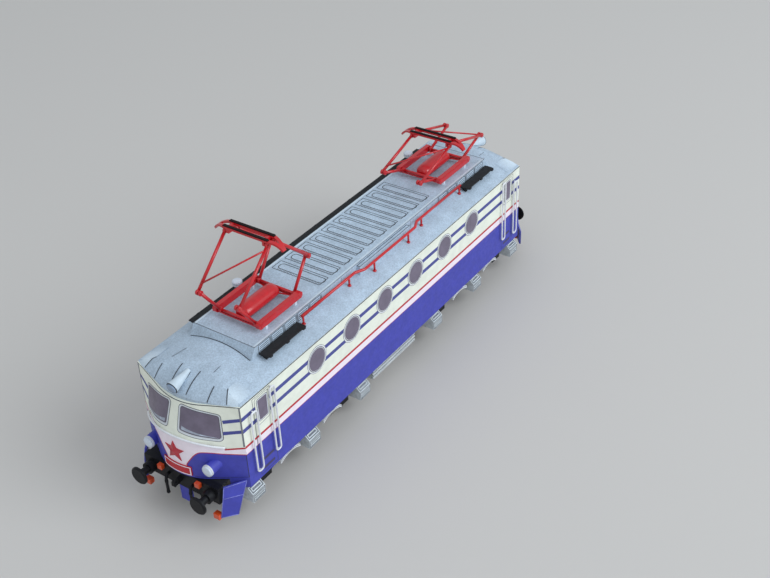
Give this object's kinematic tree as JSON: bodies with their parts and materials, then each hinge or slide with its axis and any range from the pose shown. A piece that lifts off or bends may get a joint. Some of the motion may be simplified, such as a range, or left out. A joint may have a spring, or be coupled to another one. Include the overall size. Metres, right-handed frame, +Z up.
{
  "type": "card scale model electric locomotive",
  "caption": "Printed-card scale model of an electric locomotive: two curved cabs, two four-wheel bogies that swivel, rolling wheelsets and folding pantographs.",
  "frame": {"origin": "under the middle of the body, on the floor that the wheel flanges stand on", "axes": "+X forward to the cab that shows in the picture, +Y to the left, +Z up"},
  "size_m": [0.164, 0.036, 0.0678],
  "materials": {
    "side_card": "printed card, satin",
    "roof_card": "printed card, matte",
    "frame_card": "printed card, matte",
    "black_card": "matte black",
    "red_metal": "satin red enamel",
    "black_plastic": "matte black",
    "white_wire": "white enamel",
    "lens": "pearly white",
    "blue_card": "printed card, satin",
    "wheel_metal": "blackened, bright treads",
    "orange_plastic": "orange-red",
    "star_red": "red enamel",
    "insulator": "silver white",
    "strip": "dark carbon"
  },
  "bodies": {
    "body": {"battery_box_left": "frame_card", "battery_box_right": "frame_card", "bogie_pivots": "black_plastic", "brake_hoses": "black_plastic", "buffer_beam_front": "black_plastic", "buffer_beam_rear": "black_plastic", "buffers_front": "black_plastic", "buffers_rear": "black_plastic", "busbar": "red_metal", "cab_end_front": "side_card", "cab_end_rear": "side_card", "draw_hooks": "black_plastic", "floor": "black_plastic", "front_plates": "star_red", "handrails_left": "white_wire", "handrails_right": "white_wire", "headlamp_lenses": "lens", "headlamps": "blue_card", "hose_cocks": "orange_plastic", "nose_rails": "white_wire", "nose_stars": "star_red", "pan_front_base": "red_metal", "pan_rear_base": "red_metal", "pantograph_feet": "insulator", "plough_blocks": "orange_plastic", "ploughs": "blue_card", "roof": "roof_card", "roof_box": "roof_card", "roof_insulators": "insulator", "roof_lamp_lenses": "lens", "roof_lamps": "roof_card", "side_wall_left": "side_card", "side_wall_right": "side_card", "spring_covers": "red_metal", "walkway_right": "black_card", "walkways_left": "black_card"},
    "bogie_front": {"bogie_frame_front": "black_plastic", "bogie_boxes_front": "frame_card", "bogie_springs_front": "frame_card"},
    "bogie_rear": {"bogie_frame_rear": "black_plastic", "bogie_boxes_rear": "frame_card", "bogie_springs_rear": "frame_card"},
    "wheelset_front_1": {"wheelset_front_1": "wheel_metal"},
    "wheelset_front_2": {"wheelset_front_2": "wheel_metal"},
    "wheelset_rear_1": {"wheelset_rear_1": "wheel_metal"},
    "wheelset_rear_2": {"wheelset_rear_2": "wheel_metal"},
    "pan_front_lower_front": {"pan_front_lower_front": "red_metal"},
    "pan_front_lower_rear": {"pan_front_lower_rear": "red_metal"},
    "pan_front_upper_front": {"pan_front_upper_front": "red_metal"},
    "pan_front_upper_rear": {"pan_front_upper_rear": "red_metal"},
    "pan_front_head": {"pan_front_head": "red_metal", "pan_front_strips": "strip"},
    "pan_rear_lower_front": {"pan_rear_lower_front": "red_metal"},
    "pan_rear_lower_rear": {"pan_rear_lower_rear": "red_metal"},
    "pan_rear_upper_front": {"pan_rear_upper_front": "red_metal"},
    "pan_rear_upper_rear": {"pan_rear_upper_rear": "red_metal"},
    "pan_rear_head": {"pan_rear_head": "red_metal", "pan_rear_strips": "strip"}
  },
  "joints": [
    {"name": "bogie_front_swivel", "type": "hinge", "parent": "body", "child": "bogie_front", "pos_m": [0.043, 0, 0.01325], "axis": [0, 0, 1], "range_deg": [-4, 4]},
    {"name": "wheelset_front_1_roll", "type": "hinge", "parent": "bogie_front", "child": "wheelset_front_1", "pos_m": [0.0602, 0, 0.00825], "axis": [0, 1, 0], "continuous": true},
    {"name": "wheelset_front_2_roll", "type": "hinge", "parent": "bogie_front", "child": "wheelset_front_2", "pos_m": [0.0258, 0, 0.00825], "axis": [0, 1, 0], "continuous": true},
    {"name": "bogie_rear_swivel", "type": "hinge", "parent": "body", "child": "bogie_rear", "pos_m": [-0.043, 0, 0.01325], "axis": [0, 0, 1], "range_deg": [-4, 4]},
    {"name": "wheelset_rear_1_roll", "type": "hinge", "parent": "bogie_rear", "child": "wheelset_rear_1", "pos_m": [-0.0258, 0, 0.00825], "axis": [0, 1, 0], "continuous": true},
    {"name": "wheelset_rear_2_roll", "type": "hinge", "parent": "bogie_rear", "child": "wheelset_rear_2", "pos_m": [-0.0602, 0, 0.00825], "axis": [0, 1, 0], "continuous": true},
    {"name": "pan_front_raise", "type": "hinge", "parent": "body", "child": "pan_front_lower_front", "pos_m": [0.04835, 0, 0.04585], "axis": [0, -1, 0], "range_deg": [-45, 7]},
    {"name": "pan_front_lower_rear_fold", "type": "hinge", "parent": "body", "child": "pan_front_lower_rear", "pos_m": [0.03285, 0, 0.04585], "axis": [0, 1, 0], "range_deg": [-45.01, 7.01]},
    {"name": "pan_front_knee_front_fold", "type": "hinge", "parent": "pan_front_lower_front", "child": "pan_front_upper_front", "pos_m": [0.05443, 0, 0.05453], "axis": [0, 1, 0], "range_deg": [-79.83, 12.43]},
    {"name": "pan_front_knee_rear_fold", "type": "hinge", "parent": "pan_front_lower_rear", "child": "pan_front_upper_rear", "pos_m": [0.02677, 0, 0.05453], "axis": [0, -1, 0], "range_deg": [-79.83, 12.43]},
    {"name": "pan_front_head_level", "type": "hinge", "parent": "pan_front_upper_front", "child": "pan_front_head", "pos_m": [0.0419, 0, 0.0661], "axis": [0, -1, 0], "range_deg": [-34.83, 5.43]},
    {"name": "pan_rear_raise", "type": "hinge", "parent": "body", "child": "pan_rear_lower_front", "pos_m": [-0.03685, 0, 0.04585], "axis": [0, -1, 0], "range_deg": [-11, 41]},
    {"name": "pan_rear_lower_rear_fold", "type": "hinge", "parent": "body", "child": "pan_rear_lower_rear", "pos_m": [-0.05235, 0, 0.04585], "axis": [0, 1, 0], "range_deg": [-11.01, 41.01]},
    {"name": "pan_rear_knee_front_fold", "type": "hinge", "parent": "pan_rear_lower_front", "child": "pan_rear_upper_front", "pos_m": [-0.02695, 0, 0.04965], "axis": [0, 1, 0], "range_deg": [-19.43, 72.41]},
    {"name": "pan_rear_knee_rear_fold", "type": "hinge", "parent": "pan_rear_lower_rear", "child": "pan_rear_upper_rear", "pos_m": [-0.06225, 0, 0.04965], "axis": [0, -1, 0], "range_deg": [-19.43, 72.41]},
    {"name": "pan_rear_head_level", "type": "hinge", "parent": "pan_rear_upper_front", "child": "pan_rear_head", "pos_m": [-0.0433, 0, 0.0545], "axis": [0, -1, 0], "range_deg": [-8.43, 31.41]}
  ],
  "couplings": [
    {"joint": "pan_front_lower_rear_fold", "follows": "pan_front_raise", "ratio": 1},
    {"joint": "pan_front_knee_front_fold", "follows": "pan_front_raise", "ratio": 1.7738},
    {"joint": "pan_front_knee_rear_fold", "follows": "pan_front_raise", "ratio": 1.7738},
    {"joint": "pan_front_head_level", "follows": "pan_front_raise", "ratio": 0.7738},
    {"joint": "pan_rear_lower_rear_fold", "follows": "pan_rear_raise", "ratio": 1},
    {"joint": "pan_rear_knee_front_fold", "follows": "pan_rear_raise", "ratio": 1.7658},
    {"joint": "pan_rear_knee_rear_fold", "follows": "pan_rear_raise", "ratio": 1.7658},
    {"joint": "pan_rear_head_level", "follows": "pan_rear_raise", "ratio": 0.76578}
  ]
}
